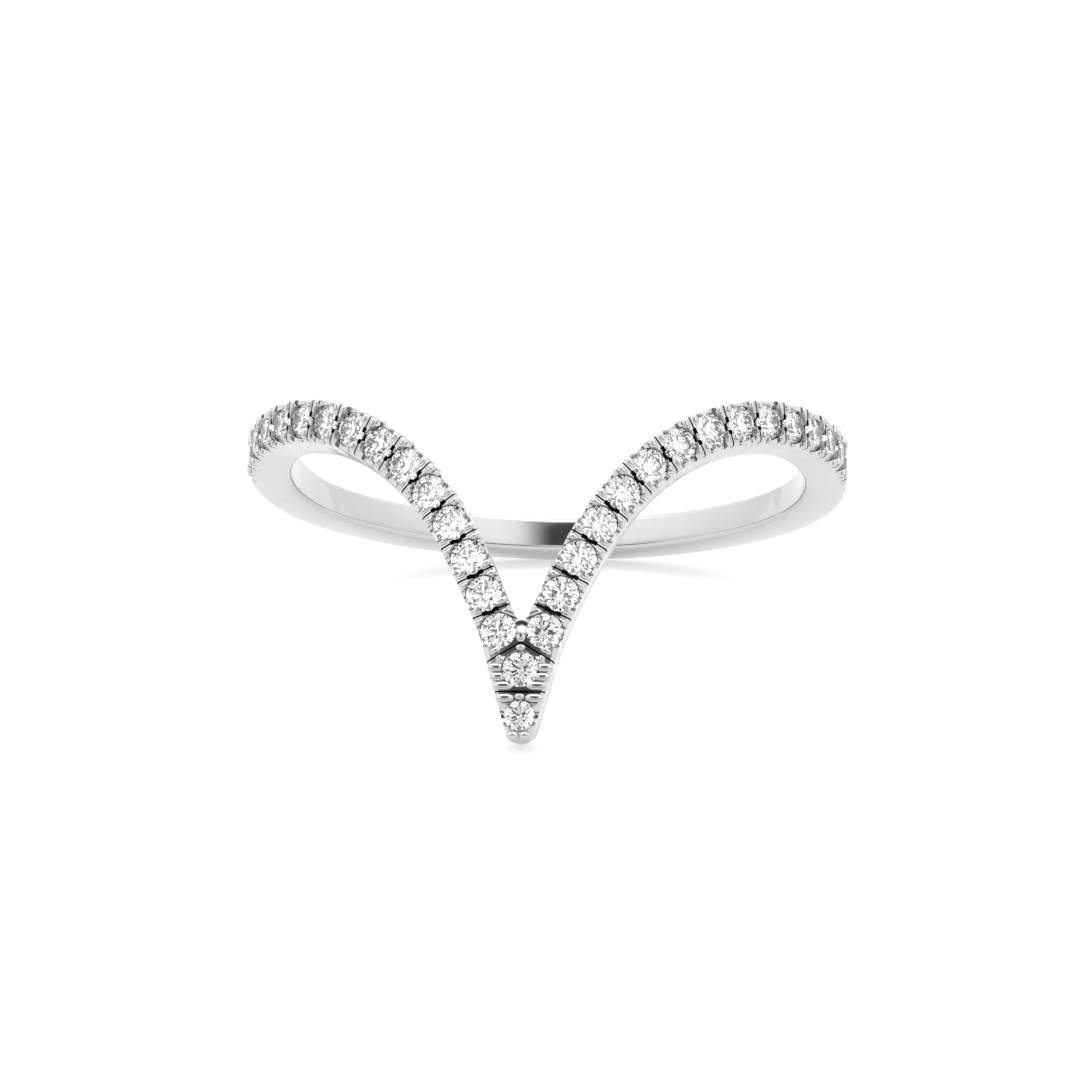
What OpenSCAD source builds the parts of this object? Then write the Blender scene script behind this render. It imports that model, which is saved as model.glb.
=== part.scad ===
// Chevron ring: a plain round shank whose front dips into a deep V, set with a row of round stones.
// Frame: the ring lies as it rests, on the point of the V and on the back edge of the shank.
// +Z is up, -Y is the front, and the origin is the middle of the footprint on the surface.

/* [Finger hole] */
// Inside diameter of the ring
bore_d = 16.5; // [15:0.1:19]
// Relief of the finger hole's wall inside the head, in radius
head_relief = 0.05; // [0.03:0.01:0.08]
// Angle from the front at which the head ends and the shank begins
head_angle = 118; // [105:1:130]
// Thickness of the metal from the finger hole to the outside
wall = 1.41; // [1.3:0.01:1.8]
// Bevel of the inner edges
inner_bevel = 0.12; // [0.1:0.01:0.15]
// Bevel of the outer edges
outer_bevel = 0.1; // [0.05:0.01:0.12]

/* [Shank] */
// Width of the plain shank at the back
shank_w = 1.12; // [1:0.02:1.4]
// Height of the shank's middle over the ring's middle plane
shank_z = -0.06; // [-0.2:0.02:0.2]
// Angle from the front at which the shoulders start to narrow
narrow_from = 88; // [85:1:92]
// Angle from the front at which the shank has its own width
narrow_to = 122; // [110:1:140]

/* [Arms] */
// Width of the stone set arms
arm_w = 1.36; // [1.34:0.01:1.6]
// Height of the level shoulders' middle over the ring's middle plane
shoulder_z = 0.14; // [0:0.02:0.3]
// Slope of each arm at its lowest stone
arm_slope = 68; // [64:1:70]
// Length of each arm from its lowest stone to where it is level
arm_bend = 15.3; // [14:0.1:17]
// Distance from the ring's middle to each arm's lowest stone
arm_start = 0.72; // [0.7:0.01:0.78]

/* [Point] */
// Drop from an arm's lowest stone to the middle of the point's round end
end_drop = 2.76; // [2.7:0.01:2.9]
// Radius of the point's round end
end_r = 0.56; // [0.54:0.01:0.62]
// How much narrower the arms' lower rim is at their lowest stone
low_taper = 0.06; // [0:0.01:0.07]
// Rise from an arm's lowest stone to the floor of the notch between the arms
notch_rise = 0.38; // [0.34:0.01:0.44]
// Radius of the notch's round floor
notch_r = 0.18; // [0.14:0.01:0.2]

/* [Stones] */
// Diameter of each round stone
stone_d = 1.13; // [1:0.01:1.14]
// Diameter of the smaller stone at the point
point_stone_d = 0.96; // [0.9:0.01:0.98]
// Distance from stone to stone along an arm
stone_pitch = 1.278; // [1.26:0.002:1.3]
// Number of stones on each arm
arm_stones = 15; // [8:1:15]
// Drop from an arm's lowest stone to the stone where the arms join
join_drop = 1.21; // [1.18:0.01:1.24]
// Drop from an arm's lowest stone to the stone at the point
point_drop = 2.66; // [2.62:0.01:2.7]
// Rise of each stone's table over the metal
table_rise = 0.02; // [0:0.01:0.04]
// Gap all round between a stone and its seat
seat_gap = 0.02; // [0.02:0.005:0.03]

/* [Setting] */
// Width of the groove between two stones
groove_w = 0.18; // [0.15:0.01:0.2]
// Depth of the groove between two stones
groove_deep = 0.42; // [0.3:0.02:0.5]
// Radius of the scallop across the rims at each stone
scallop_r = 0.34; // [0.28:0.01:0.36]
// Depth of the scallop across the rims at each stone
scallop_deep = 0.16; // [0.1:0.01:0.2]
// Number of narrow cuts beside the joining stone
flute_count = 2; // [1:1:2]
// Distance between the narrow cuts
flute_pitch = 0.33; // [0.28:0.01:0.36]
// Width of the narrow cuts
flute_w = 0.1; // [0.06:0.01:0.12]
// Depth of the narrow cuts
flute_deep = 0.2; // [0.1:0.01:0.25]
// Diameter of the prongs at the corners of each stone
prong_d = 0.2; // [0.16:0.01:0.22]
// Rise of the prongs over the metal
prong_rise = 0.05; // [0.03:0.01:0.08]
// Gap between a prong and the groove beside it, and the rim behind it
prong_gap = 0.02; // [0.01:0.005:0.03]

/* [Hidden] */
ARMS = ["left", "right"];
function number(i) = i < 9 ? str("0", i + 1) : str(i + 1);
function stone_name(arm, i) = str("stone_", arm, "_", number(i));

// Fineness of the round surfaces that are cut or turned
round_fn = 32;
hoop_fn = 180;
// Length by which a cutter passes the face that it cuts
over = 1;
// Depth by which the edges' outline passes the wall's round faces
skim = 0.05;

bore_r = bore_d / 2;
outer_r = bore_r + wall;
prong_r = prong_d / 2;

// Places on the ring's outside, unrolled flat, are [across, up, slope]: the distance round from the
// front, the height over the ring's middle plane, and the slope of the row of stones there
function across(angle) = angle * PI / 180 * outer_r;
function angle_at(x) = x / outer_r * 180 / PI;

// The middle line of one arm bends evenly from its slope at the lowest stone to level
bend_steps = 60;
bend_step = arm_bend / bend_steps;
function slope_at(s) = arm_slope * (1 + cos(180 * s / arm_bend)) / 2;
rising_line = [
    for (i = 0, x = arm_start, z = 0; i <= bend_steps;
         x = x + bend_step * cos(slope_at((i + 0.5) * bend_step)),
         z = z + bend_step * sin(slope_at((i + 0.5) * bend_step)),
         i = i + 1)
        [x, z, slope_at(i * bend_step)]
];
arm_low = shoulder_z - rising_line[bend_steps][1];
arm_line = [for (p = rising_line) [p[0], p[1] + arm_low, p[2]]];

// The place at a length along an arm from its lowest stone
function arm_place(s) =
    let (t = min(s, arm_bend) / bend_step, i = min(floor(t), bend_steps - 1))
    arm_line[i] * (i + 1 - t) + arm_line[i + 1] * (t - i) + [max(s - arm_bend, 0), 0, 0];

join_place = [0, arm_low - join_drop, 90];
point_place = [0, arm_low - point_drop, 90];
end_z = arm_low - end_drop;

// Both edges of the band, unrolled, from the front to the back, moved in from the true edge by an inset
narrow_steps = 8;
function ease(t) = t * t * (3 - 2 * t);
function shank_edge(side, inset) = [
    for (k = [0 : narrow_steps])
        let (t = k / narrow_steps)
        [
            across(narrow_from + (narrow_to - narrow_from) * t),
            shoulder_z + (shank_z - shoulder_z) * ease(t)
                + side * (arm_w / 2 + (shank_w - arm_w) / 2 * ease(t) - inset)
        ]
];

// The arms' lower rim has its full width from the third stone on
function low_side(s) = arm_w / 2 - low_taper * max(1 - s / (2 * stone_pitch), 0);

end_steps = 6;
// The point's straight sides meet its round end this far short of a quarter turn
end_turn = atan2(arm_start, end_drop) + asin((low_side(0) - end_r) / norm([arm_start, end_drop]));
function lower_edge(inset) = concat(
    [
        for (k = [0 : end_steps])
            let (a = -90 + (90 - end_turn) * k / end_steps)
            [(end_r - inset) * cos(a), end_z + (end_r - inset) * sin(a)]
    ],
    [
        for (i = [0 : bend_steps])
            let (p = arm_line[i], w = low_side(i * bend_step) - inset)
            [p[0] + w * sin(p[2]), p[1] - w * cos(p[2])]
    ],
    shank_edge(-1, inset),
    [[across(180), shank_z - shank_w / 2 + inset]]
);

notch_steps = 4;
notch_turn = 70;
notch_mid = arm_low + notch_rise + notch_r;
function upper_edge(inset) = concat(
    [
        for (k = [0 : notch_steps])
            let (a = -90 + notch_turn * k / notch_steps)
            [(notch_r + inset) * cos(a), notch_mid + (notch_r + inset) * sin(a)]
    ],
    [
        for (p = arm_line)
            let (x = p[0] - (arm_w / 2 - inset) * sin(p[2]))
            if (x > notch_r + inset) [x, p[1] + (arm_w / 2 - inset) * cos(p[2])]
    ],
    shank_edge(1, inset),
    [[across(180), shank_z + shank_w / 2 - inset]]
);

// Stations from the front to the back, close together across the point and the notch
fine_steps = 16;
fine_x = 3.2;
fine_power = 1.5;
coarse_turn = 4;
fine_turn = angle_at(fine_x);
coarse_steps = ceil((180 - fine_turn) / coarse_turn);
stations = concat(
    [for (k = [0 : fine_steps - 1]) fine_turn * pow(k / fine_steps, fine_power)],
    [for (k = [0 : coarse_steps]) fine_turn + (180 - fine_turn) * k / coarse_steps]
);

// The edges' section at a station, as radius and height, going round it once
low_inner = lower_edge(inner_bevel + skim);
low_true = lower_edge(0);
low_outer = lower_edge(outer_bevel + skim);
high_inner = upper_edge(inner_bevel + skim);
high_true = upper_edge(0);
high_outer = upper_edge(outer_bevel + skim);
function section(x) = [
    [bore_r - skim, lookup(x, low_inner)],
    [bore_r + inner_bevel, lookup(x, low_true)],
    [outer_r - outer_bevel, lookup(x, low_true)],
    [outer_r + skim, lookup(x, low_outer)],
    [outer_r + skim, lookup(x, high_outer)],
    [outer_r - outer_bevel, lookup(x, high_true)],
    [bore_r + inner_bevel, lookup(x, high_true)],
    [bore_r - skim, lookup(x, high_inner)]
];

function ring_point(angle, p) = [p[0] * sin(angle), -p[0] * cos(angle), p[1]];

// What lies between the band's edges, a hair thicker than the wall on both of its round faces
module edge_to_edge() {
    half = [for (a = stations) [a, section(across(a))]];
    last = len(half) - 1;
    whole = concat(half, [for (k = [last - 1 : -1 : 1]) [-half[k][0], half[k][1]]]);
    n = len(whole);
    m = len(whole[0][1]);
    polyhedron(
        points = [for (w = whole) for (p = w[1]) ring_point(w[0], p)],
        faces = [
            for (i = [0 : n - 1]) for (j = [0 : m - 1])
                let (a = i * m, b = (i + 1) % n * m, k = (j + 1) % m)
                each [[a + j, a + k, b + j], [a + k, b + k, b + j]]
        ]
    );
}

// Children stand on the ring's outside at a place: +X along the row of stones, +Z outward
module on_band(place) {
    rotate([0, 0, angle_at(place[0])])
        translate([0, -outer_r, place[1]])
            rotate([90, 0, 0])
                rotate([0, 0, place[2]])
                    children();
}

module on_arm(arm) {
    if (arm == "left") mirror([1, 0, 0]) children();
    else children();
}

// A round tool along the ring's axis whose seam is at the back
hoop_h = 4 * wall + end_drop + shoulder_z - arm_low;
module hoop(r) {
    translate([0, 0, -hoop_h]) rotate([0, 0, 90]) cylinder(r = r, h = hoop_h + 4 * wall, $fn = hoop_fn);
}

module head_sector() {
    reach = 4 * outer_r;
    linear_extrude(2 * hoop_h, center = true)
        polygon([
            [0, 0],
            reach * [-sin(head_angle), -cos(head_angle)],
            reach * [-1, -1],
            reach * [1, -1],
            reach * [sin(head_angle), -cos(head_angle)]
        ]);
}

// A round brilliant's heights and radii, as shares of its diameter
crown_share = 0.15;
girdle_share = 0.03;
pavilion_share = 0.43;
table_share = 0.285;
star_share = 0.39;
low_share = 0.125;
facets = 8;
half_facet = 180 / facets;
function girdle_z(d) = table_rise - crown_share * d;
function keel_z(d) = girdle_z(d) - girdle_share * d;
function culet_z(d) = keel_z(d) - pavilion_share * d;

function ring(count, turn, r, z) = [
    for (k = [0 : count - 1]) let (a = 360 * k / count + turn) [r * cos(a), r * sin(a), z]
];

// The bezel and the pavilion main facets are flat, so their side corners lie on their planes
module brilliant(d) {
    star_z = table_rise - crown_share * d * (star_share * cos(half_facet) - table_share) / (1 / 2 - table_share);
    low_z = keel_z(d) - pavilion_share * d * (1 - 2 * low_share * cos(half_facet));
    n = facets;
    star = n;
    top = 2 * n;
    keel = 4 * n;
    low = 6 * n;
    culet = 7 * n;
    polyhedron(
        points = concat(
            ring(n, 0, table_share * d, table_rise),
            ring(n, half_facet, star_share * d, star_z),
            ring(2 * n, 0, d / 2, girdle_z(d)),
            ring(2 * n, 0, d / 2, keel_z(d)),
            ring(n, half_facet, low_share * d, low_z),
            [[0, 0, culet_z(d)]]
        ),
        faces = concat(
            [[for (k = [n - 1 : -1 : 0]) k]],
            [for (k = [0 : n - 1]) [k, (k + 1) % n, star + k]],
            [for (k = [0 : n - 1]) [k, star + k, top + 2 * k, star + (k + n - 1) % n]],
            [for (k = [0 : n - 1]) [star + k, top + 2 * k + 1, top + 2 * k]],
            [for (k = [0 : n - 1]) [star + k, top + (2 * k + 2) % (2 * n), top + 2 * k + 1]],
            [for (k = [0 : 2 * n - 1]) let (j = (k + 1) % (2 * n)) [top + k, top + j, keel + j, keel + k]],
            [for (k = [0 : n - 1]) [keel + 2 * k, keel + 2 * k + 1, low + k]],
            [for (k = [0 : n - 1]) [keel + 2 * k + 1, keel + (2 * k + 2) % (2 * n), low + k]],
            [for (k = [0 : n - 1]) [keel + 2 * k, low + k, culet, low + (k + n - 1) % n]]
        )
    );
}

// The hole that one stone sits in
module seat(d) {
    r = d / 2 + seat_gap;
    rotate_extrude($fn = round_fn)
        polygon([[0, culet_z(d) - 2 * seat_gap], [r, keel_z(d) - seat_gap], [r, over], [0, over]]);
}

// A round cut across both rims at a stone
module scallop() {
    translate([0, 0, scallop_r - scallop_deep])
        rotate([90, 0, 0]) cylinder(r = scallop_r, h = 2 * arm_w, center = true, $fn = round_fn);
}

// The groove between two stones runs out through the rims, from one reach across the row to the other
module groove(from, to) {
    translate([-groove_w / 2, from, -groove_deep]) cube([groove_w, to - from, groove_deep + over]);
}

// Narrow cuts across the wide rims beside the joining stone, from below its middle
flute_from = 0.1;
flute_rim = 0.1;
module flutes() {
    for (side = [-1, 1]) for (k = [0 : flute_count - 1])
        translate([-flute_from - k * flute_pitch, side * (stone_d / 2 + flute_rim + arm_w / 2), (over - flute_deep) / 2])
            cube([flute_w, arm_w, over + flute_deep], center = true);
}

// Prongs stand this far in from the rim behind them, and this far along the row from their groove's middle
prong_in = prong_r + prong_gap;
prong_along = groove_w / 2 + prong_r + prong_gap;
prong_root = 0.3;
prong_round = 0.04;
module prong() {
    rotate_extrude($fn = round_fn)
        polygon([
            [0, -prong_root],
            [prong_r, -prong_root],
            [prong_r, prong_rise - prong_round],
            [prong_r - prong_round, prong_rise],
            [0, prong_rise]
        ]);
}

// One prong on each side of a groove, at a distance across the row
module prong_pair(side) {
    for (x = [-1, 1]) translate([x * prong_along, side, 0]) prong();
}

// A groove follows each stone of an arm, the last one too, at these lengths along it
arm_grooves = [for (i = [0 : arm_stones - 1]) (i + 0.5) * stone_pitch];
// The grooves between the arms' lowest stones and the joining stone meet in the middle
branch_slope = atan2(join_drop, arm_start);
branch_place = [arm_start / 2, arm_low - join_drop / 2, branch_slope];
branch_to = arm_start / 2 / sin(branch_slope);
stem_place = [0, arm_low - (join_drop + point_drop) / 2, 90];
stem_side = 0.6;
// Under the notch one prong serves the arms' lowest stones, and two stand at the point's very end
notch_prong_place = [0, arm_low - 0.14, 90];
end_prong_turn = 20;
end_prong_place = [end_r * sin(end_prong_turn), end_z - end_r * cos(end_prong_turn), 90];

module band() {
    color("silver")
        at_rest()
            difference() {
                union() {
                    intersection() {
                        hoop(outer_r);
                        edge_to_edge();
                    }
                    for (arm = ARMS) on_arm(arm) {
                        for (s = arm_grooves) on_band(arm_place(s)) {
                            prong_pair(prong_in - low_side(s));
                            prong_pair(arm_w / 2 - prong_in);
                        }
                        on_band(branch_place) prong_pair(prong_in - low_side(0));
                        on_band(stem_place) prong_pair(-stem_side);
                        on_band(end_prong_place) prong();
                    }
                    on_band(notch_prong_place) prong();
                }
                hoop(bore_r);
                intersection() {
                    hoop(bore_r + head_relief);
                    head_sector();
                }
                for (arm = ARMS) on_arm(arm) {
                    for (i = [0 : arm_stones - 1]) on_band(arm_place(i * stone_pitch)) {
                        seat(stone_d);
                        scallop();
                    }
                    for (s = arm_grooves) on_band(arm_place(s)) groove(-arm_w, arm_w);
                    on_band(branch_place) groove(-arm_w, branch_to);
                }
                on_band(join_place) {
                    seat(stone_d);
                    flutes();
                }
                on_band(point_place) {
                    seat(point_stone_d);
                    scallop();
                }
                on_band(stem_place) groove(-arm_w, arm_w);
            }
}

module stone(arm, place, d) {
    color("white") at_rest() on_arm(arm) on_band(place) brilliant(d);
}

// The ring lies on the inner edge of the point and on the outer edge of the shank's back
point_contact = [bore_r + inner_bevel, end_z - end_r];
back_contact = [outer_r - outer_bevel, shank_z - shank_w / 2];
tilt = atan2(back_contact[1] - point_contact[1], back_contact[0] + point_contact[0]);
rest_z = -point_contact[0] * sin(tilt) - point_contact[1] * cos(tilt);
front_y = -outer_r * cos(tilt) + (point_contact[1] + outer_bevel) * sin(tilt);
back_y = outer_r * cos(tilt) + (shank_z + shank_w / 2 - outer_bevel) * sin(tilt);

module at_rest() {
    translate([0, -(front_y + back_y) / 2, rest_z]) rotate([-tilt, 0, 0]) children();
}

band();
stone("right", point_place, point_stone_d);  // stone_point
stone("right", join_place, stone_d);  // stone_join
for (arm = ARMS) for (i = [0 : arm_stones - 1])
    stone(arm, arm_place(i * stone_pitch), stone_d);
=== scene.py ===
"""Chevron ring: a polished white gold band that dips into a deep V, set with a row of round brilliants.

The CAD stones stay as they are and get a diamond material. The band is modelled again with its edges
rounded, its beads domed and its seats cut, and stands for the CAD band.
"""

import math

import bpy
from bpy.props import FloatProperty, FloatVectorProperty, IntProperty, PointerProperty
from bpy.types import Operator, Panel, PropertyGroup
from mathutils import Matrix


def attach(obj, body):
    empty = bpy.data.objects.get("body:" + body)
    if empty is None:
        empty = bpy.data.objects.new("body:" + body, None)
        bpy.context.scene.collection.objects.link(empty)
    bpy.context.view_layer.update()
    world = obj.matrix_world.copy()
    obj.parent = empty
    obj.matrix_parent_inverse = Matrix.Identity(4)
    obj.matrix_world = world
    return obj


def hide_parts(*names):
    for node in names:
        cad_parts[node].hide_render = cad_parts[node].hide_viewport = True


bl_info = {
    "name": "Chevron Ring",
    "version": (1, 0, 0),
    "blender": (4, 5, 0),
    "location": "3D View > Sidebar > Ring",
    "description": "Models the chevron ring's polished band, dresses its stones and sets its stage",
    "category": "Object",
}

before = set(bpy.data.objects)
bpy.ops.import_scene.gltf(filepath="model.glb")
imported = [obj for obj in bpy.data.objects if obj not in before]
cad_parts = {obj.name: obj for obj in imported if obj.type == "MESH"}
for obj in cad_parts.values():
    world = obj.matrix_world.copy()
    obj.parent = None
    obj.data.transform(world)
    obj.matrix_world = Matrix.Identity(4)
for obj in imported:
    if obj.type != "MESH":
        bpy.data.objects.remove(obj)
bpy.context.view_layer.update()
MM = 0.001
BODY = "root"
# A brilliant's heights, as shares of its diameter
CROWN, GIRDLE, PAVILION = 0.15, 0.03, 0.43
# Length by which a cutter stands out of the metal, in millimetres
OVER = 1
# Width of a cut at its floor, as a share of its width at the top
KEEL = 0.3
# Width of the pit between the two lowest stones, as a share of the others' width
STEM_PIT = 0.6
# How far a raised piece's lower half is drawn down into the metal, in its own half heights
ROOTED = 4
# Width of the rounding along a bar's edges, as a share of its half sizes
BAR_ROUNDING = 0.92
# How strongly the turned band's sections crowd towards the front: 1 is evenly
CROWDING = 1.6
# Angles from the front between which the side walls turn from straight back to towards the axis
BACK_UNTIL, AXIS_FROM = 50, 80
# The head's relief fades out over so many degrees on each side of the head's end
HEAD_FADE = 1
# How many sections the turned band has all round
SECTIONS = 360
# Distances under which points are merged, in millimetres: along the turned band's seam, and after the cuts
SEAM, WELD = 0.0001, 0.002
# Edges and faces smaller than this are dissolved after the cuts, in millimetres
SLIVER = 0.001
# Allowance where points and faces are picked by their place
NEAR = 0.001
# Edges that turn by more than this stay sharp, in degrees
SHARP_FROM = 35
# The bars at the joining stone, in millimetres.
# On both sides: height over the stone's middle, and distance of the inner end from the row's middle
BARS = ((0.03, 0.48), (-0.26, 0.44), (-0.54, 0.2), (-0.92, 0.17))
# On the row's middle, between the arms' lowest stones, over the joining stone and over the stone at the
# point: height over the joining stone's middle, half height and half width
MIDDLE_BARS = ((1.03, 0.2, 0.15), (0.66, 0.09, 0.15), (-0.88, 0.09, 0.16))
# Under both ends of the groove over the joining stone: height, distance from the row's middle, and half sizes
SIDE_BAR = (0.32, 0.66, 0.11, 0.1)
# The camera that was fitted to the photograph, in the ring's own frame and in millimetres
CAMERA_RIGHT = (0.997285, 0.070219, 0.022170)
CAMERA_UP = (-0.004109, -0.247552, 0.968862)
CAMERA_BACK = (0.073521, -0.966323, -0.246590)
CAMERA_PLACE = (14.448, -192.713, -51.558)
# Width of the camera's sensor, in millimetres, and its nearest and furthest distance, in metres
SENSOR = 36
CLIP = (0.01, 10)
# Places of the two area lights and their size, in metres
OVERHEAD_PLACE, FLOOR_LIGHT_PLACE = (-0.05, 0.1, 0.7), (0.05, -0.6, 0.5)
LIGHT_SIZE = (0.8, 0.6)
# The world's dark room behind the camera, in parts of a direction: where it starts and where it is darkest,
# to the front and downwards, and the share of the light that it takes away
ROOM_FRONT, ROOM_LOW, ROOM_TAKES = (-0.55, -0.8), (0.29, 0.17), 0.88
# The dark camera side above the room: on its right, left, top, bottom and far side, the part of the direction
# that counts, where it is darkest and where it ends, and the share of the light that it leaves
DARK_SIDES = (("X", 0.04, 0.33), ("X", -0.14, -0.42), ("Z", 0.82, 0.9), ("Z", 0.5, 0.4), ("Y", -0.3, -0.2))
DARK_LEAVES = 0.04
# The share of the light that comes from level with the floor, and how high up it is full
LEVEL_LIGHT, FULL_FROM = 0.78, 0.8


# Sizes and colours


def length(name, mm, description):
    """A length property whose default is given in millimetres."""
    return FloatProperty(
        name=name, description=description, default=mm * MM, min=-1, max=1, unit="LENGTH", precision=5
    )


def turn(name, degrees, description):
    """An angle property whose default is given in degrees."""
    return FloatProperty(
        name=name, description=description, default=math.radians(degrees), unit="ROTATION", subtype="ANGLE"
    )


def colour(name, hex_code, description):
    """A colour property whose default is an sRGB hex value."""
    return FloatVectorProperty(
        name=name, description=description, default=linear(hex_code)[:3], size=3, min=0, max=1,
        subtype="COLOR",
    )


def amount(name, value, description, most=100):
    """A property for a plain number."""
    return FloatProperty(name=name, description=description, default=value, min=0, max=most)


def linear(hex_code):
    """An sRGB hex value as a linear colour with alpha."""
    shares = [int(hex_code[i : i + 2], 16) / 255 for i in (1, 3, 5)]
    return (*[c / 12.92 if c <= 0.04045 else ((c + 0.055) / 1.055) ** 2.4 for c in shares], 1)


class BandSizes(PropertyGroup):
    bore: length("Finger hole", 16.5, "Inside diameter of the ring")
    relief: length("Head relief", 0.05, "How far the head's inner wall stands back from the shank's")
    head_turn: turn("Head end", 118, "Angle from the front at which the head ends and the shank begins")
    wall: length("Wall", 1.41, "Thickness of the metal from the finger hole to the outside")
    inner_bevel: length("Inner bevel", 0.12, "Bevel of the CAD band's inner edge, which the point lies on")
    outer_bevel: length("Outer bevel", 0.1, "Bevel of the CAD band's outer edge, which the back lies on")
    inner_round: length("Inner rounding", 0.17, "Rounding of the inner edges")
    outer_round: length("Outer rounding", 0.1, "Rounding of the outer edges")
    draft: length("Draft", 0.04, "How much further in the arms' sides stand outside than at the finger hole")
    wall_back: amount("Walls back", 0.65, "How far the head's sides run straight back: 0 is to the axis", 1)
    notch_strip: length("Notch strip", 1.8, "How far from the middle the upper side is drafted in full")
    shank_w: length("Shank width", 1.12, "Width of the plain shank at the back")
    shank_z: length("Shank height", -0.06, "Height of the shank's middle over the ring's middle plane")
    narrow_from: turn("Shoulder start", 88, "Angle from the front at which the shoulders start to narrow")
    narrow_to: turn("Shoulder end", 122, "Angle from the front at which the shank has its own width")
    arm_w: length("Arm width", 1.36, "Width of the arms that hold the stones")
    shoulder_z: length("Shoulder height", 0.14, "Height of the shoulders' middle over the middle plane")
    arm_slope: turn("Arm slope", 68, "Slope of each arm at its lowest stone")
    arm_bend: length("Arm bend", 15.3, "Length of each arm from its lowest stone to where it is level")
    arm_start: length("Arm start", 0.72, "Distance from the ring's middle to each arm's lowest stone")
    end_drop: length("Point drop", 2.76, "Drop from an arm's lowest stone to the middle of the round end")
    end_r: length("Point radius", 0.56, "Radius of the point's round end")
    low_taper: length("Lower taper", 0.06, "How much narrower the arms' lower rim is at their lowest stone")
    notch_rise: length("Notch rise", 0.38, "Rise from an arm's lowest stone to the floor of the notch")
    notch_r: length("Notch radius", 0.18, "Radius of the notch's round floor")


class SettingSizes(PropertyGroup):
    stone_d: length("Stone", 1.13, "Diameter of each round stone")
    point_stone_d: length("Point stone", 0.96, "Diameter of the smaller stone at the point")
    pitch: length("Stone pitch", 1.278, "Distance from stone to stone along an arm")
    arm_stones: IntProperty(
        name="Stones on an arm", description="Number of stones on each arm", default=15, min=1
    )
    join_drop: length("Join drop", 1.21, "Drop from an arm's lowest stone to the stone where the arms join")
    point_drop: length("Point stone drop", 2.66, "Drop from an arm's lowest stone to the stone at the point")
    table_rise: length("Table rise", 0.02, "Rise of each stone's table over the metal")
    seat_gap: length("Seat gap", 0.015, "Gap all round between a stone and its seat")
    groove_w: length("Groove width", 0.13, "Width of the groove between two stones")
    groove_deep: length("Groove depth", 0.22, "Depth of the groove between two stones")
    scallop_r: length("Scallop radius", 0.42, "Radius of the scallop across the rims at each stone")
    scallop_deep: length("Scallop depth", 0.22, "Depth of the scallop across the rims at each stone")
    flute_side: length("Flute side", 0.315, "Distance from a groove's middle to the narrow cuts beside it")
    flute_long: length("Flute length", 0.3, "Length of the narrow cuts, half of it in from the rim")
    flute_w: length("Flute width", 0.06, "Width of the narrow cuts at the rims")
    flute_deep: length("Flute depth", 0.14, "Depth of the narrow cuts at the rims")
    pit_w: length("Pit width", 0.3, "Width of the dark pit between two stones, along the row")
    pit_long: length("Pit length", 0.62, "Length of the dark pit between two stones, across the row")
    pit_deep: length("Pit depth", 0.36, "Depth of the dark pit between two stones")
    bead_r: length("Bead radius", 0.115, "Radius of the beads that hold the stones, along the row")
    bead_long: length("Bead length", 0.2, "How far each bead reaches across the row from its middle")
    bead_rise: length("Bead rise", 0.075, "Rise of the beads over the metal")
    end_turn: turn("End bead turn", 20, "Angle of the two last beads from the end, round the point")
    bar_r: length("Bar radius", 0.132, "Half the height of the bars beside the joining stone")
    bar_edge: length("Bar edge", 0.02, "Width of the smooth strip between the bars and the outline")
    bar_rise: length("Bar rise", 0.08, "Rise of the bars over the metal")


class Finishes(PropertyGroup):
    gold: colour("White gold", "#C9C9C7", "Colour of the rhodium plated, polished white gold")
    burred_gold: colour("Burred white gold", "#CFCECC", "Colour of the unpolished metal inside the seats")
    # The sawn colour is painted shade: its darkness stands for the shadow in the grooves, pits and flutes,
    # whose metal is only rough
    cut_gold: colour("Sawn white gold", "#5E5D5B", "Colour of the unpolished metal inside the cuts")
    diamond: colour("Diamond", "#FFFFFF", "Colour of the stones")
    floor: colour("Floor", "#B4B4B4", "Colour of the floor")


class StageSizes(PropertyGroup):
    floor_r: length("Floor radius", 900, "Radius of the round floor")
    camera_lens: FloatProperty(
        name="Lens", description="Focal length of the camera", default=206.02, unit="CAMERA"
    )
    sky: amount("Sky", 1.46, "Brightness of the even light all round")
    glow: amount("Table glow", 0.5, "Brightness of the light from under the floor")
    key: amount("Key light", 0.8, "Power of the large soft light overhead, in watts")
    fill: amount("Floor light", 1.6, "Power of the light that whitens the floor, in watts")


# The ring's outline, unrolled from its outside, in millimetres


def ease(t):
    """0 to 1, level at both ends."""
    t = min(max(t, 0), 1)
    return t * t * (3 - 2 * t)


def lookup(x, points):
    """The height at x on a line through points that are in order of x."""
    if x <= points[0][0]:
        return points[0][1]
    low, high = 0, len(points) - 1
    while high - low > 1:
        middle = (low + high) // 2
        if points[middle][0] <= x:
            low = middle
        else:
            high = middle
    (x0, z0), (x1, z1) = points[low], points[high]
    return z0 if x1 <= x0 else z0 + (z1 - z0) * min((x - x0) / (x1 - x0), 1)


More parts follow.
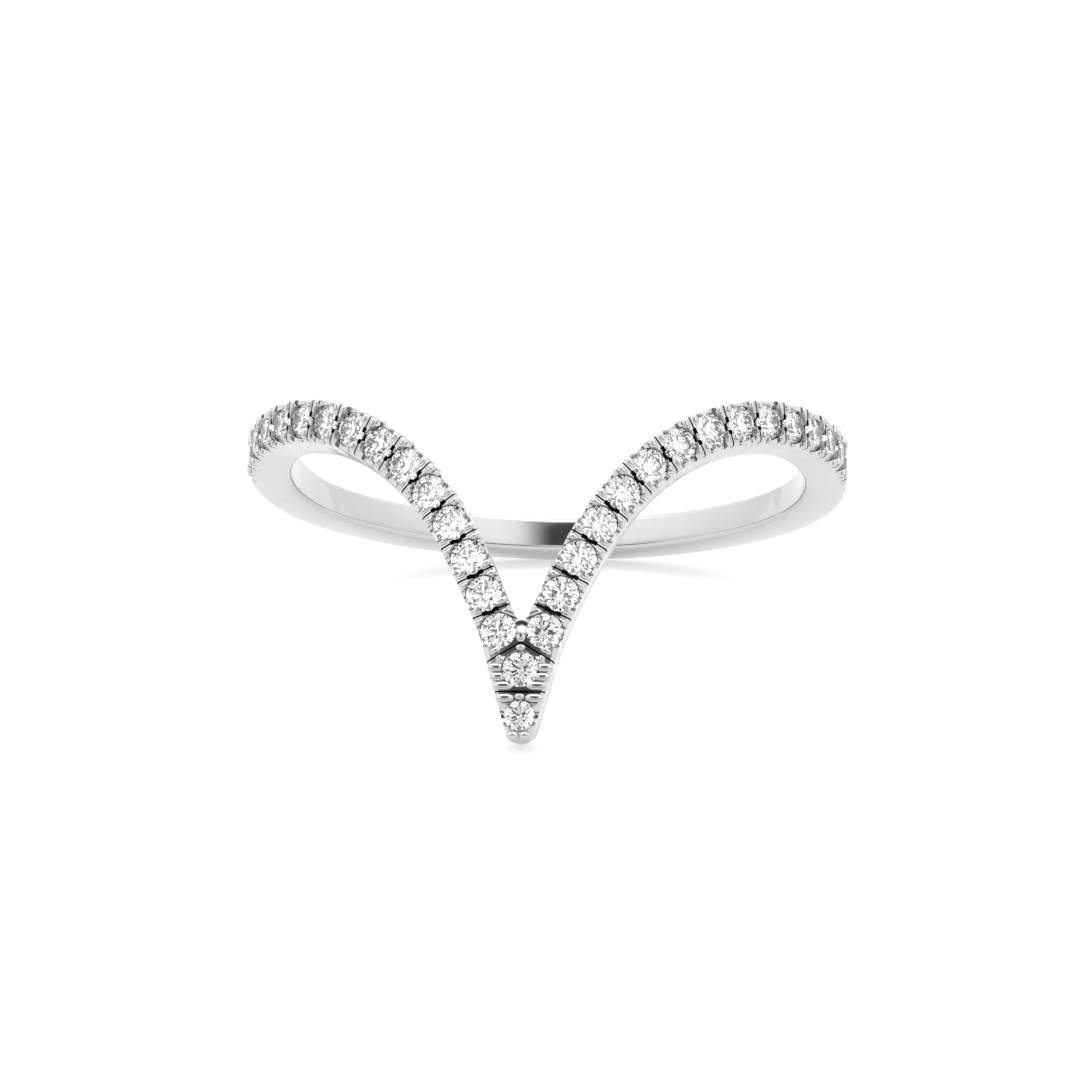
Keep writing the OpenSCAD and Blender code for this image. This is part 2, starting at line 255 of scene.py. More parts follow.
class Outline:
    """Where the band's edges and its row of stones run. Places are (across, up, slope in degrees)."""

    # How many straight steps stand for an arm's bend, a shoulder, and one side of the point's end and of the
    # notch's floor
    BEND_STEPS, SHOULDER_STEPS, END_STEPS, NOTCH_STEPS = 240, 24, 12, 8
    # Turn of the notch's floor from its lowest place up one side, in degrees
    NOTCH_TURN = 70

    def __init__(self, band, setting):
        for group in (band, setting):
            for name in group.__annotations__:
                value = getattr(group, name)
                if group.bl_rna.properties[name].unit == "LENGTH":
                    value /= MM
                elif group.bl_rna.properties[name].unit == "ROTATION":
                    value = math.degrees(value)
                setattr(self, name, value)
        self.bore_r = self.bore / 2
        self.outer_r = self.bore_r + self.wall
        self.bend_step = self.arm_bend / self.BEND_STEPS
        line = [(self.arm_start, 0, self.arm_slope)]
        for i in range(self.BEND_STEPS):
            slope = math.radians(self.slope_at((i + 0.5) * self.bend_step))
            x, z, _ = line[-1]
            line.append(
                (
                    x + self.bend_step * math.cos(slope),
                    z + self.bend_step * math.sin(slope),
                    self.slope_at((i + 1) * self.bend_step),
                )
            )
        self.arm_low = self.shoulder_z - line[-1][1]
        self.arm_line = [(x, z + self.arm_low, slope) for x, z, slope in line]
        self.end_z = self.arm_low - self.end_drop
        self.edges = {}

    def across(self, degrees):
        return math.radians(degrees) * self.outer_r

    def outline_x(self, r, degrees):
        """Where the outline is read for a point of a side wall. The head's walls run partly straight back."""
        straight_back = math.degrees(math.asin(min(r * math.sin(math.radians(degrees)) / self.outer_r, 1)))
        share = self.wall_back * (1 - ease((degrees - BACK_UNTIL) / (AXIS_FROM - BACK_UNTIL)))
        return self.across(degrees + (straight_back - degrees) * share)

    def slope_at(self, s):
        return self.arm_slope * (1 + math.cos(math.pi * s / self.arm_bend)) / 2

    def arm_place(self, s):
        """The place at a length along the right arm from its lowest stone."""
        t = min(s, self.arm_bend) / self.bend_step
        i = min(int(t), self.BEND_STEPS - 1)
        a, b = self.arm_line[i], self.arm_line[i + 1]
        x, z, slope = (p * (i + 1 - t) + q * (t - i) for p, q in zip(a, b))
        return (x + max(s - self.arm_bend, 0), z, slope)

    def low_side(self, s):
        """Half the arm's width on its lower side, a little less at the lowest stones."""
        return self.arm_w / 2 - self.low_taper * max(1 - s / (2 * self.pitch), 0)

    def draft_at(self, side, x):
        """How far the outside stands in: all along the arms' lower side, but only beside the notch above."""
        if side < 0:
            past = (x / self.across(1) - self.narrow_from) / (self.narrow_to - self.narrow_from)
            return self.draft * (1 - ease(past))
        return self.draft * (1 - ease((x - self.notch_strip) / self.notch_strip))

    def shoulder_edge(self, side, inset):
        """The shoulder's edge on one side, from the arm's width to the shank's."""
        points = []
        for k in range(self.SHOULDER_STEPS + 1):
            t = k / self.SHOULDER_STEPS
            x = self.across(self.narrow_from + (self.narrow_to - self.narrow_from) * t)
            middle = self.shoulder_z + (self.shank_z - self.shoulder_z) * ease(t)
            half = self.arm_w / 2 + (self.shank_w - self.arm_w) / 2 * ease(t) - inset
            points.append((x, middle + side * half))
        return points

    def lower_edge(self, inset):
        """The lower edge from the point's end to the back, moved in by inset."""
        reach = math.hypot(self.arm_start, self.end_drop)
        lean = math.atan2(self.arm_start, self.end_drop)
        tangent = lean + math.asin((self.low_side(0) - self.end_r) / reach)
        points = []
        for k in range(self.END_STEPS + 1):
            a = math.radians(-90) + (math.radians(90) - tangent) * k / self.END_STEPS
            r = self.end_r - inset
            points.append((r * math.cos(a), self.end_z + r * math.sin(a)))
        for i, (x, z, slope) in enumerate(self.arm_line):
            w = self.low_side(i * self.bend_step) - inset
            a = math.radians(slope)
            points.append((x + w * math.sin(a), z - w * math.cos(a)))
        back = (self.across(180), self.shank_z - self.shank_w / 2 + inset)
        return points + self.shoulder_edge(-1, inset) + [back]

    def upper_edge(self, inset):
        """The upper edge from the notch's floor to the back, moved in by inset."""
        middle = self.arm_low + self.notch_rise + self.notch_r
        points = []
        r = self.notch_r + inset
        for k in range(self.NOTCH_STEPS + 1):
            a = math.radians(-90 + self.NOTCH_TURN * k / self.NOTCH_STEPS)
            points.append((r * math.cos(a), middle + r * math.sin(a)))
        w = self.arm_w / 2 - inset
        for x, z, slope in self.arm_line:
            a = math.radians(slope)
            if x - w * math.sin(a) > r:
                points.append((x - w * math.sin(a), z + w * math.cos(a)))
        back = (self.across(180), self.shank_z + self.shank_w / 2 - inset)
        return points + self.shoulder_edge(1, inset) + [back]

    def edge_height(self, side, inset, x):
        """The height at x of the band's lower (-1) or upper (1) edge, moved in by inset."""
        key = (side, round(inset, 5))
        if key not in self.edges:
            self.edges[key] = self.lower_edge(inset) if side < 0 else self.upper_edge(inset)
        return lookup(x, self.edges[key])

    def half_width(self, z):
        """Half the width of the point at a height."""
        return lookup(z, [(edge_z, x) for x, edge_z in self.lower_edge(0) if x < 2 * self.arm_w])

    def both_arms(self, place):
        """The place on the right arm and the same one on the left."""
        x, z, slope = place
        return [(x, z, slope), (-x, z, -slope)]

    def on_band(self, place):
        """The matrix that puts a tool on the ring's outside: +X along the row of stones, +Z outward."""
        x, z, slope = place
        return (
            Matrix.Rotation(x / self.outer_r, 4, "Z")
            @ Matrix.Translation((0, -self.outer_r, z))
            @ Matrix.Rotation(math.pi / 2, 4, "X")
            @ Matrix.Rotation(math.radians(slope), 4, "Z")
        )

    def at_rest(self):
        """The matrix from the ring's own frame to the row frame, both in millimetres."""
        point = (self.bore_r + self.inner_bevel, self.end_z - self.end_r)
        back = (self.outer_r - self.outer_bevel, self.shank_z - self.shank_w / 2)
        tilt = math.atan2(back[1] - point[1], back[0] + point[0])
        rest_z = -point[0] * math.sin(tilt) - point[1] * math.cos(tilt)
        front_y = -self.outer_r * math.cos(tilt) + (point[1] + self.outer_bevel) * math.sin(tilt)
        back_top = self.shank_z + self.shank_w / 2 - self.outer_bevel
        back_y = self.outer_r * math.cos(tilt) + back_top * math.sin(tilt)
        return Matrix.Translation((0, -(front_y + back_y) / 2, rest_z)) @ Matrix.Rotation(-tilt, 4, "X")


def girdle_z(d, outline):
    """Height of a stone's girdle over the metal's outside."""
    return outline.table_rise - CROWN * d


# Modelling by hand, in code


def only(*objects):
    """Selects these objects alone, the last one active."""
    bpy.ops.object.select_all(action="DESELECT")
    for o in objects:
        o.select_set(True)
    bpy.context.view_layer.objects.active = objects[-1]


def pick(piece, kind, test):
    """In edit mode, selects the vertices or faces whose place passes a test, and nothing else."""
    bpy.ops.mesh.select_mode(type=kind)
    bpy.ops.mesh.select_all(action="DESELECT")
    bpy.ops.object.mode_set(mode="OBJECT")
    mesh = piece.data
    if kind == "VERT":
        for v in mesh.vertices:
            v.select = test(v.co)
    else:
        for f in mesh.polygons:
            f.select = test(f.center)
    bpy.ops.object.mode_set(mode="EDIT")


def new_piece(name):
    """The primitive that was just added, named, with its place in its mesh."""
    piece = bpy.context.object
    piece.name = piece.data.name = name
    only(piece)
    bpy.ops.object.transform_apply(location=True, rotation=True, scale=True)
    return piece


def set_out(model, name, matrices):
    """Copies of one model at each place, joined into one object. The model itself goes."""
    copies = []
    for m in matrices:
        copy = model.copy()
        copy.data = model.data.copy()
        copy.data.transform(m)
        bpy.context.scene.collection.objects.link(copy)
        copies.append(copy)
    bpy.data.objects.remove(model)
    only(*copies)
    if len(copies) > 1:
        bpy.ops.object.join()
    group = bpy.context.object
    group.name = group.data.name = name
    return group


def combine(piece, tool, operation, finish):
    """Joins a tool to the piece or cuts it away, leaves the tool's finish there, and uses the tool up."""
    tool.data.materials.append(finish)
    only(piece)
    bpy.ops.object.modifier_add(type="BOOLEAN")
    step = piece.modifiers[-1]
    step.operation = operation
    step.solver = "MANIFOLD"
    step.material_mode = "TRANSFER"
    step.object = tool
    bpy.ops.object.modifier_apply(modifier=step.name)
    bpy.data.objects.remove(tool)


# Materials


def node(tree, kind, settings=None, **links):
    """Adds a node with its settings and inputs. An input goes by its name or, as _0, by its number.

    An input that is given another node's socket is linked to it.
    """
    made = tree.nodes.new(kind)
    for name, value in (settings or {}).items():
        setattr(made, name, value)
    for name, value in links.items():
        numbered = name[0] == "_" and name[1:].isdigit()
        socket = made.inputs[int(name[1:]) if numbered else name.replace("_", " ")]
        if isinstance(value, bpy.types.NodeSocket):
            tree.links.new(value, socket)
        else:
            socket.default_value = value
    return made


def new_material(name):
    """An empty material, its node tree, and the place's own coordinates in metres."""
    material = bpy.data.materials.new(name)
    material.use_nodes = True
    tree = material.node_tree
    tree.nodes.clear()
    return material, tree, node(tree, "ShaderNodeTexCoord").outputs["Object"]


def finish_material(tree, shader):
    """Gives the material its output."""
    node(tree, "ShaderNodeOutputMaterial", Surface=shader.outputs[0])


def grain(tree, place, size_mm, detail=2.0):
    """Noise whose spots are about size_mm across."""
    scale = 1 / (size_mm * MM)
    return node(tree, "ShaderNodeTexNoise", Vector=place, Scale=scale, Detail=detail, Roughness=0.5)


def spread(tree, noise, low, high):
    """The noise drawn out so that its usual range gives low to high."""
    return node(
        tree, "ShaderNodeMapRange",
        Value=noise.outputs["Fac"], From_Min=0.3, From_Max=0.7, To_Min=low, To_Max=high,
    )


def shaded(base, *shares):
    """A colour with alpha, each part of the base multiplied by its share."""
    return (*[part * share for part, share in zip(base, shares)], 1)


def tinted(tree, factor, first, second):
    """The colour that runs from the first to the second as the factor rises."""
    return node(tree, "ShaderNodeMix", {"data_type": "RGBA"}, Factor=factor, _6=first, _7=second).outputs[2]


def polished_white_gold(finishes):
    """14 carat white gold, cast, buffed to a mirror and rhodium plated.

    The eye sees a bright, slightly cool mirror, hardly blurred, whose buffing leaves it a little uneven.
    """
    material, tree, place = new_material("polished_white_gold")
    buffing = grain(tree, place, 0.9)
    haze = spread(tree, buffing, 0.12, 0.18)
    lustre = spread(tree, buffing, 0, 1)
    # The duller places reflect 3% less
    duller = shaded(finishes.gold, 0.97, 0.97, 0.97)
    tint = tinted(tree, lustre.outputs[0], (*finishes.gold, 1), duller)
    # Buffing marks are a few hundredths of a millimetre; drawn at 0.12 mm so that they show at all
    marks = grain(tree, place, 0.12)
    waves = node(tree, "ShaderNodeBump", Strength=0.04, Distance=0.01 * MM, Height=marks.outputs["Fac"])
    shader = node(
        tree,
        "ShaderNodeBsdfPrincipled",
        Base_Color=tint,
        Metallic=1.0,
        Roughness=haze.outputs[0],
        Normal=waves.outputs[0],
    )
    finish_material(tree, shader)
    return material


def cut_white_gold(name, colour_here):
    """White gold inside the seats and grooves, as the graver and burr leave it, where no polish reaches.

    The eye sees dull grey hollows that make the stones and beads stand out. With the sawn colour, the
    darkness in the grooves, pits and flutes is painted shade; only their roughness is the metal's own.
    """
    material, tree, place = new_material(name)
    tool_marks = grain(tree, place, 0.08)
    haze = spread(tree, tool_marks, 0.28, 0.42)
    waves = node(tree, "ShaderNodeBump", Strength=0.2, Distance=0.01 * MM, Height=tool_marks.outputs["Fac"])
    shader = node(
        tree,
        "ShaderNodeBsdfPrincipled",
        Base_Color=(*colour_here, 1),
        Metallic=1.0,
        Roughness=haze.outputs[0],
        Normal=waves.outputs[0],
    )
    finish_material(tree, shader)
    return material


def diamond(finishes):
    """Colourless diamond, cut and polished.

    The eye sees clear facets that flash white or go dark, because diamond bends light far more than glass.
    """
    material, tree, place = new_material("colourless_diamond")
    # Stones differ a little in colour from one to the next, over about a stone's width
    parcel = grain(tree, place, 2.5, 0.0)
    bluish = shaded(finishes.diamond, 0.94, 0.97, 1.0)
    tint = tinted(tree, parcel.outputs["Fac"], bluish, (*finishes.diamond, 1))
    shader = node(
        tree,
        "ShaderNodeBsdfPrincipled",
        Base_Color=tint,
        IOR=2.42,
        Roughness=0.0,
        Transmission_Weight=1.0,
    )
    finish_material(tree, shader)
    return material


def light_table(finishes, glow):
    """Opal acrylic, cast and matted, lit a little from below.

    The eye sees an even white with the faintest mottle, on which shadows stay soft and pale.
    """
    material, tree, place = new_material("opal_acrylic")
    mottle = grain(tree, place, 4.0)
    greyer = shaded(finishes.floor, 0.995, 0.995, 0.995)
    tint = tinted(tree, mottle.outputs["Fac"], (*finishes.floor, 1), greyer)
    shader = node(
        tree,
        "ShaderNodeBsdfPrincipled",
        Base_Color=tint,
        Roughness=0.7,
        Emission_Color=(1, 1, 1, 1),
        Emission_Strength=glow,
    )
    finish_material(tree, shader)
    return material


# Pieces


def turned_band(o):
    """The band before any stone is set: a section with rounded corners, spun round, shaped to the outline."""
    bpy.ops.object.select_all(action="DESELECT")
    middle = o.bore_r + o.wall / 2
    bpy.ops.mesh.primitive_plane_add(size=1, location=(0, -middle, 0), rotation=(0, math.pi / 2, 0))
    band = new_piece("white_gold_band")
    bpy.ops.object.mode_set(mode="EDIT")
    bpy.ops.transform.resize(value=(1, o.wall, 1))
    for inside, rounding in ((True, o.inner_round), (False, o.outer_round)):
        pick(band, "VERT", lambda co: (co.y > -middle) == inside)
        bpy.ops.mesh.bevel(offset=rounding, offset_type="OFFSET", segments=4, affect="VERTICES")
    bpy.ops.mesh.select_all(action="SELECT")
    bpy.ops.mesh.delete(type="ONLY_FACE")
    bpy.ops.mesh.select_all(action="SELECT")
    bpy.ops.mesh.spin(steps=SECTIONS, angle=2 * math.pi, center=(0, 0, 0), axis=(0, 0, 1))
    bpy.ops.mesh.select_all(action="SELECT")
    bpy.ops.mesh.remove_doubles(threshold=SEAM)
    bpy.ops.mesh.normals_make_consistent(inside=False)
    bpy.ops.object.mode_set(mode="OBJECT")
    # No operator bends a hoop along a drawn outline, so each point goes there by its place in the section.
    # The stations crowd towards the front, where the outline turns most.
    for v in band.data.vertices:
        r, degrees = math.hypot(v.co.x, v.co.y), math.degrees(math.atan2(v.co.x, -v.co.y))
        degrees = math.copysign(180 * (abs(degrees) / 180) ** CROWDING, degrees)
        side, inset = math.copysign(1, v.co.z), 0.5 - abs(v.co.z)
        x = o.outline_x(r, abs(degrees))
        height = o.edge_height(side, inset, x)
        drawn_in = o.draft_at(side, x) * (r - o.bore_r) / o.wall
        height += (o.edge_height(side, inset + o.outer_round, x) - height) * drawn_in / o.outer_round
        if r < middle:
            r += o.relief * ease((o.head_turn + HEAD_FADE - abs(degrees)) / (2 * HEAD_FADE))
        a = math.radians(degrees)
        v.co = (r * math.sin(a), -r * math.cos(a), height)
    band.data.update()
    return band


def raised(place, along, across, size, rise):
    """The matrix that puts a raised piece of these half sizes on the metal, off a place along and across."""
    return place @ Matrix.Translation((along, across, rise - size[2])) @ Matrix.Diagonal((*size, 1))


def bead_places(o):
    """The beads at both rims on each side of every groove, at the notch and at the very end."""
    size = (o.bead_r, o.bead_long, o.bead_r)
    beside = o.groove_w / 2 + o.bead_r
    places = []

    def pair(place, across):
        for along in (-beside, beside):
            places.append(raised(o.on_band(place), along, across, size, o.bead_rise))

    for i in range(o.arm_stones - 1):
        s = (i + 0.5) * o.pitch
        for place in o.both_arms(o.arm_place(s)):
            pair(place, o.bead_long + o.draft - o.low_side(s))
            pair(place, o.arm_w / 2 - o.bead_long - o.draft_at(1, abs(place[0])))
    for place in o.both_arms(branch_place(o)):
        pair(place, o.bead_long + o.draft - o.low_side(0))
    turned = math.radians(o.end_turn)
    end = (o.end_r * math.sin(turned), o.end_z - o.end_r * math.cos(turned), 90)
    for place in o.both_arms(end):
        places.append(raised(o.on_band(place), 0, 0, size, o.bead_rise))
    return places


def bar_places(o):
    """The bars on both sides of the joining stone, each from its stone to the smooth strip at the outline."""
    join = o.on_band((0, o.arm_low - o.join_drop, 90))
    places = []
    for high, inner in BARS:
        outer = o.half_width(o.arm_low - o.join_drop + high) - o.bar_edge
        size = (o.bar_r, (outer - inner) / 2, o.bar_rise)
        places += [raised(join, high, side * (outer + inner) / 2, size, o.bar_rise) for side in (-1, 1)]
    for high, tall, wide in MIDDLE_BARS:
        places.append(raised(join, high, 0, (tall, wide, o.bar_rise), o.bar_rise))
    high, aside, tall, wide = SIDE_BAR
    for side in (-1, 1):
        places.append(raised(join, high, side * aside, (tall, wide, o.bar_rise), o.bar_rise))
    return places


def branch_place(o):
    """The middle of the groove between the right arm's lowest stone and the joining stone."""
    return (o.arm_start / 2, o.arm_low - o.join_drop / 2, math.degrees(math.atan2(o.join_drop, o.arm_start)))


def stem_place(o):
    """The middle of the groove between the joining stone and the stone at the point."""
    return (0, o.arm_low - (o.join_drop + o.point_drop) / 2, 90)


def raised_ball(name):
    """A ball of radius 1, rooted in the metal."""
    bpy.ops.object.select_all(action="DESELECT")
    bpy.ops.mesh.primitive_uv_sphere_add(segments=16, ring_count=8, radius=1, location=(0, 0, 0))
    return rooted(new_piece(name))


def raised_cushion(name):
    """A cube of half size 1 with well rounded edges, rooted in the metal, for the squarer bars."""
    bpy.ops.object.select_all(action="DESELECT")
    bpy.ops.mesh.primitive_cube_add(size=2, location=(0, 0, 0))
    model = new_piece(name)
    bpy.ops.object.mode_set(mode="EDIT")
    bpy.ops.mesh.select_all(action="SELECT")
    bpy.ops.mesh.bevel(offset=BAR_ROUNDING, offset_type="OFFSET", segments=5, affect="EDGES")
    bpy.ops.object.mode_set(mode="OBJECT")
    return rooted(model)


def rooted(model):
    """Draws the lower half of a raised piece down, so that it reaches well into the metal."""
    bpy.ops.object.mode_set(mode="EDIT")
    pick(model, "VERT", lambda co: co.z < -NEAR)
    bpy.ops.transform.translate(value=(0, 0, -ROOTED))
    bpy.ops.object.mode_set(mode="OBJECT")
    return model


def seat_tool(o, d, name):
    """The burr that cuts one stone's seat: a cone up to the girdle, drawn out straight above it."""
    bpy.ops.object.select_all(action="DESELECT")
    r = d / 2 + o.seat_gap
    top = girdle_z(d, o) - GIRDLE * d - o.seat_gap
    bottom = girdle_z(d, o) - (GIRDLE + PAVILION) * d - 2 * o.seat_gap
    bpy.ops.mesh.primitive_cone_add(
        vertices=40, radius1=0, radius2=r, depth=top - bottom, location=(0, 0, (top + bottom) / 2)
    )
    tool = new_piece(name)
    bpy.ops.object.mode_set(mode="EDIT")
    pick(tool, "FACE", lambda c: c.z > top - NEAR)
    bpy.ops.mesh.extrude_region_move(TRANSFORM_OT_translate={"value": (0, 0, OVER - top)})
    bpy.ops.object.mode_set(mode="OBJECT")
    return tool


def groove_tool(o, start, end, name):
    """The saw cut between two stones, out through the rims."""
    bpy.ops.object.select_all(action="DESELECT")
    size = (o.groove_w, end - start, OVER + o.groove_deep)
    place = (0, (start + end) / 2, (OVER - o.groove_deep) / 2)
    bpy.ops.mesh.primitive_cube_add(size=1, location=place, scale=size)
    return keeled(new_piece(name), o.groove_deep, (KEEL, 1, 1))


def keeled(tool, deep, shares):
    """Draws a cutter's floor in to these shares of its size at the top."""
    bpy.ops.object.mode_set(mode="EDIT")
    pick(tool, "FACE", lambda c: c.z < NEAR - deep)
    bpy.ops.transform.resize(value=shares, center_override=(0, 0, -deep))
    bpy.ops.object.mode_set(mode="OBJECT")
    return tool


def scallop_tool(o):
    """The round cut across both rims at a stone."""
    bpy.ops.object.select_all(action="DESELECT")
    bpy.ops.mesh.primitive_cylinder_add(
        vertices=40,
        radius=o.scallop_r,
        depth=2 * o.arm_w,
        location=(0, 0, o.scallop_r - o.scallop_deep),
        rotation=(math.pi / 2, 0, 0),
    )
    return new_piece("scallop")


def flute_places(o, side):
    """The narrow cuts at both rims beside every groove of one arm."""
    places = []
    for i in range(o.arm_stones - 1):
        s = (i + 0.5) * o.pitch
        place = o.on_band(o.both_arms(o.arm_place(s))[side])
        for along in (-o.flute_side, o.flute_side):
            for rim in (-o.low_side(s), o.arm_w / 2):
                places.append(place @ Matrix.Translation((along, rim, 0)))
    return places


def flute_tool(o):
    """A thin cutter for the flutes, sharp below."""
    bpy.ops.object.select_all(action="DESELECT")
    size = (o.flute_w, o.flute_long, OVER + o.flute_deep)
    bpy.ops.mesh.primitive_cube_add(size=1, location=(0, 0, (OVER - o.flute_deep) / 2), scale=size)
    return keeled(new_piece("flute"), o.flute_deep, (KEEL, 1, 1))


def pit_tool(o):
    """The pit between two stones, which takes the metal away from the beads' feet."""
    bpy.ops.object.select_all(action="DESELECT")
    size = (o.pit_w, o.pit_long, OVER + o.pit_deep)
    bpy.ops.mesh.primitive_cube_add(size=1, location=(0, 0, (OVER - o.pit_deep) / 2), scale=size)
    return keeled(new_piece("pit"), o.pit_deep, (KEEL, 1 - KEEL / 2, 1))


def cut_settings(band, o, polished, burred, cut):
    """Cuts the seats, scallops, grooves and flutes, in passes whose cuts don't meet each other."""
    arms = [o.arm_place(i * o.pitch) for i in range(o.arm_stones)]
    gaps = [o.arm_place((i + 0.5) * o.pitch) for i in range(o.arm_stones - 1)]
    join, point = (0, o.arm_low - o.join_drop, 90), (0, o.arm_low - o.point_drop, 90)
    stem, branch = stem_place(o), branch_place(o)

    def cut_away(tool, places, finish):
        combine(band, set_out(tool, tool.name + "s", places), "DIFFERENCE", finish)

    seats = [o.on_band(p) for arm in arms for p in o.both_arms(arm)] + [o.on_band(join)]
    cut_away(seat_tool(o, o.stone_d, "seat"), seats, burred)
    cut_away(seat_tool(o, o.point_stone_d, "point_seat"), [o.on_band(point)], burred)
    branch_to = o.arm_start / 2 / math.sin(math.radians(branch[2]))
    for side in (0, 1):
        scallops = [o.on_band(o.both_arms(arm)[side]) for arm in arms]
        if side == 0:
            scallops.append(o.on_band(point))
        cut_away(scallop_tool(o), scallops, polished)
        grooves = [o.on_band(o.both_arms(gap)[side]) for gap in gaps]
        # The grooves, pits and flutes get the sawn finish, whose dark colour is painted shade
        cut_away(groove_tool(o, -o.arm_w, o.arm_w, "groove"), grooves, cut)
        cut_away(pit_tool(o), grooves, cut)
        cut_away(flute_tool(o), flute_places(o, side), cut)
        cut_away(groove_tool(o, -o.arm_w, branch_to, "branch"), [o.on_band(o.both_arms(branch)[side])], cut)
    cut_away(groove_tool(o, -o.arm_w, o.arm_w, "stem"), [o.on_band(stem)], cut)
    cut_away(pit_tool(o), [o.on_band(stem) @ Matrix.Diagonal((STEM_PIT, 1, 1, 1))], cut)


class RING_OT_band(Operator):
    """Models the polished band with its rounded edges, its beads and its cut seats"""

    bl_idname = "ring.band"
    bl_label = "Polished Band"

    def execute(self, context):
        scene = context.scene
        o = Outline(scene.ring_band, scene.ring_setting)
        finishes = scene.ring_finishes
        polished = polished_white_gold(finishes)
        burred = cut_white_gold("burred_white_gold", finishes.burred_gold)
        # The sawn finish's dark colour is painted shade in the cuts
        cut = cut_white_gold("sawn_white_gold", finishes.cut_gold)
        band = turned_band(o)
        band.data.materials.append(polished)
        combine(band, set_out(raised_ball("bead"), "beads", bead_places(o)), "UNION", polished)
        combine(band, set_out(raised_cushion("bar"), "bars", bar_places(o)), "UNION", polished)
        cut_settings(band, o, polished, burred, cut)
        only(band)
        bpy.ops.object.mode_set(mode="EDIT")
        bpy.ops.mesh.select_all(action="SELECT")
        bpy.ops.mesh.remove_doubles(threshold=WELD)
        bpy.ops.mesh.dissolve_degenerate(threshold=SLIVER)
        bpy.ops.object.mode_set(mode="OBJECT")
        band.matrix_world = Matrix.Scale(MM, 4) @ o.at_rest()
        bpy.ops.object.transform_apply(location=True, rotation=True, scale=True)
        bpy.ops.object.shade_smooth_by_angle(angle=math.radians(SHARP_FROM))
        bpy.ops.object.modifier_add(type="WEIGHTED_NORMAL")
        band.modifiers[-1].keep_sharp = True
        bpy.ops.object.modifier_apply(modifier=band.modifiers[-1].name)
        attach(band, BODY)
        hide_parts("band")
        return {"FINISHED"}


class RING_OT_stones(Operator):
    """Gives each round brilliant its diamond"""

    bl_idname = "ring.stones"
    bl_label = "Round Brilliants"

    def execute(self, context):
        material = diamond(context.scene.ring_finishes)
        stones = [o for name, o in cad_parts.items() if name.startswith("stone_")]
        if not stones:
            raise RuntimeError("the frame has no stones")
        for stone in stones:
            for slot in stone.material_slots:
                slot.material = material
        return {"FINISHED"}


def studio_world(world, strength):
    """Even white light all round, with a dark room behind the camera that draws the metal's dark lines."""
    world.use_nodes = True
    tree = world.node_tree
    tree.nodes.clear()
    direction = node(tree, "ShaderNodeTexCoord").outputs["Generated"]
    part = node(tree, "ShaderNodeSeparateXYZ", _0=direction)

    def fade(axis, start, end, low=0.0, high=1.0):
        return node(
            tree, "ShaderNodeMapRange", {"interpolation_type": "SMOOTHSTEP"},
            Value=part.outputs[axis], From_Min=start, From_Max=end, To_Min=low, To_Max=high,
        ).outputs[0]

    def math_node(operation, *values):
        inputs = {f"_{i}": value for i, value in enumerate(values)}
        return node(tree, "ShaderNodeMath", {"operation": operation}, **inputs).outputs[0]

    in_room = math_node("MULTIPLY", fade("Y", *ROOM_FRONT), fade("Z", *ROOM_LOW))
    room = math_node("MULTIPLY_ADD", in_room, -ROOM_TAKES, 1.0)
    # The dark camera side draws the dark patch on the back's inner wall
    edges = [fade(*side) for side in DARK_SIDES]
    clear = edges[0]
    for edge in edges[1:]:
        clear = math_node("MAXIMUM", clear, edge)
    camera_side = math_node("MULTIPLY_ADD", clear, 1 - DARK_LEAVES, DARK_LEAVES)
    # The light falls off a little from the top to the sides
    fall = fade("Z", 0.0, FULL_FROM, LEVEL_LIGHT)
    light = room
    for share in (camera_side, fall, strength):
        light = math_node("MULTIPLY", light, share)
    sky = node(tree, "ShaderNodeBackground", Color=(1, 1, 1, 1), Strength=light)
    node(tree, "ShaderNodeOutputWorld", Surface=sky.outputs[0])


def area_light(name, place, power):
    """A large soft light that points at the ring."""
    bpy.ops.object.light_add(type="AREA", location=place)
    light = bpy.context.object
    light.name = name
    light.data.shape = "RECTANGLE"
    light.data.size, light.data.size_y = LIGHT_SIZE
    light.data.energy = power
    light.rotation_euler = (-light.location).to_track_quat("-Z", "Y").to_euler()
    return light


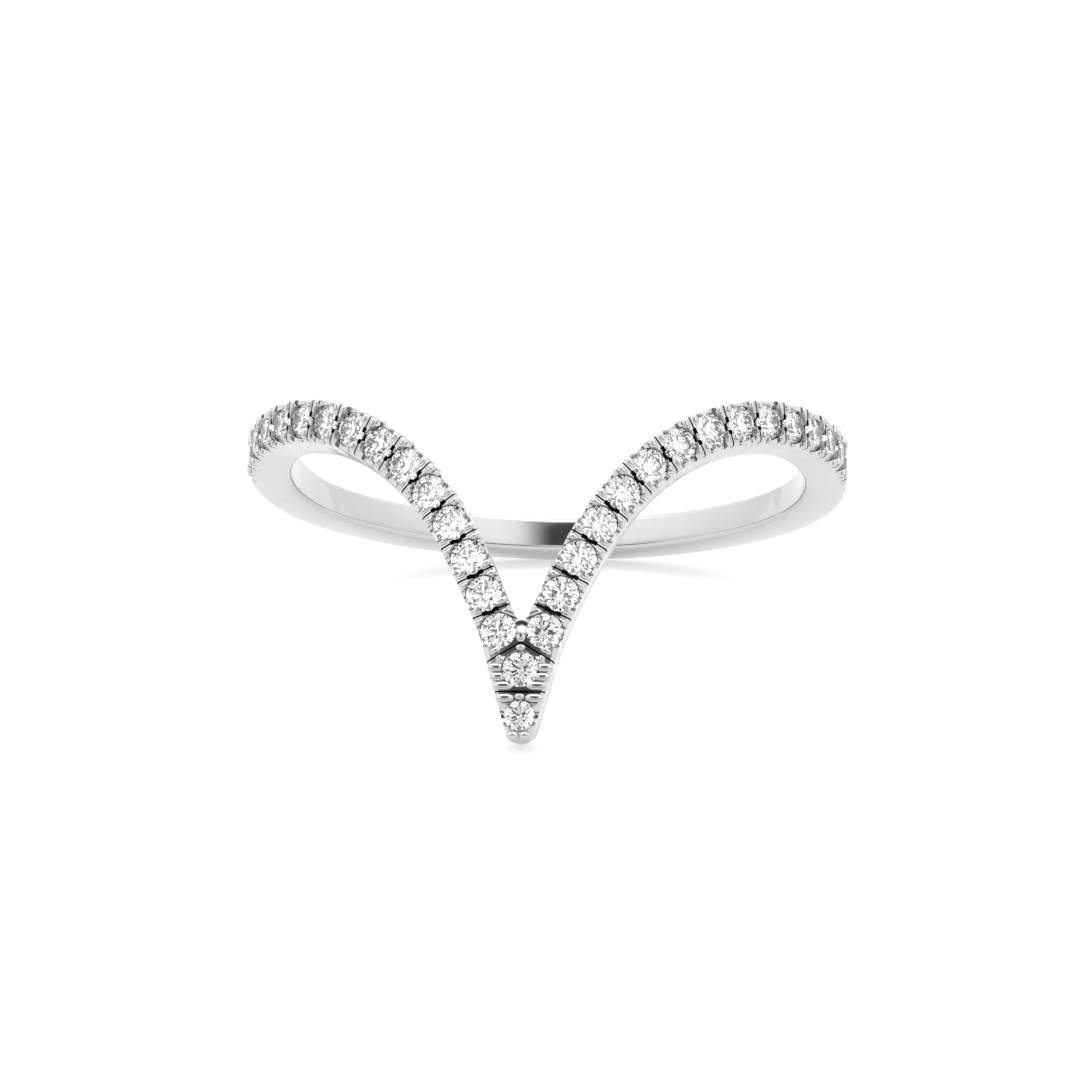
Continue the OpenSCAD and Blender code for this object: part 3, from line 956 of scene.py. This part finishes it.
class RING_OT_stage(Operator):
    """Sets the pale floor, the soft light and the camera at the photograph's angle"""

    bl_idname = "ring.stage"
    bl_label = "Stage"

    def execute(self, context):
        scene = context.scene
        stage, finishes = scene.ring_stage, scene.ring_finishes
        bpy.ops.object.select_all(action="DESELECT")
        bpy.ops.mesh.primitive_circle_add(
            vertices=96, radius=stage.floor_r, fill_type="NGON", location=(0, 0, 0)
        )
        floor = new_piece("floor")
        floor.data.materials.append(light_table(finishes, stage.glow))
        world = scene.world or bpy.data.worlds.new("studio")
        scene.world = world
        studio_world(world, stage.sky)
        area_light("overhead_softbox", OVERHEAD_PLACE, stage.key)
        light = area_light("floor_light", FLOOR_LIGHT_PLACE, stage.fill)
        # This one only whitens the floor: its reflection would hide the dark lines in the metal
        light.visible_glossy = False
        light.visible_transmission = False
        bpy.ops.object.camera_add()
        camera = bpy.context.object
        camera.name = "photograph"
        camera.data.lens = stage.camera_lens
        camera.data.sensor_width = SENSOR
        camera.data.clip_start, camera.data.clip_end = CLIP
        seen = Matrix((CAMERA_RIGHT, CAMERA_UP, CAMERA_BACK)).transposed().to_4x4()
        seen.translation = CAMERA_PLACE
        placed = Outline(scene.ring_band, scene.ring_setting).at_rest() @ seen
        placed.translation *= MM
        camera.matrix_world = placed
        scene.camera = camera
        scene.view_settings.view_transform = "Standard"
        return {"FINISHED"}


class RING_PT_panel(Panel):
    """Lists the ring's sizes and the steps that make it"""

    bl_idname = "RING_PT_panel"
    bl_label = "Chevron Ring"
    bl_space_type = "VIEW_3D"
    bl_region_type = "UI"
    bl_category = "Ring"

    def draw(self, context):
        layout = self.layout
        for group in GROUPS:
            box = layout.box()
            settings = getattr(context.scene, group)
            for name in settings.__annotations__:
                box.prop(settings, name)
        for step in (RING_OT_band, RING_OT_stones, RING_OT_stage):
            layout.operator(step.bl_idname)


GROUPS = {
    "ring_band": BandSizes,
    "ring_setting": SettingSizes,
    "ring_finishes": Finishes,
    "ring_stage": StageSizes,
}
CLASSES = (*GROUPS.values(), RING_OT_band, RING_OT_stones, RING_OT_stage, RING_PT_panel)


def register():
    for c in CLASSES:
        bpy.utils.register_class(c)
    for name, group in GROUPS.items():
        setattr(bpy.types.Scene, name, PointerProperty(type=group))


def unregister():
    for name in GROUPS:
        delattr(bpy.types.Scene, name)
    for c in reversed(CLASSES):
        bpy.utils.unregister_class(c)


def main():
    register()
    bpy.ops.ring.band()
    bpy.ops.ring.stones()
    bpy.ops.ring.stage()


if __name__ == "__main__":
    main()
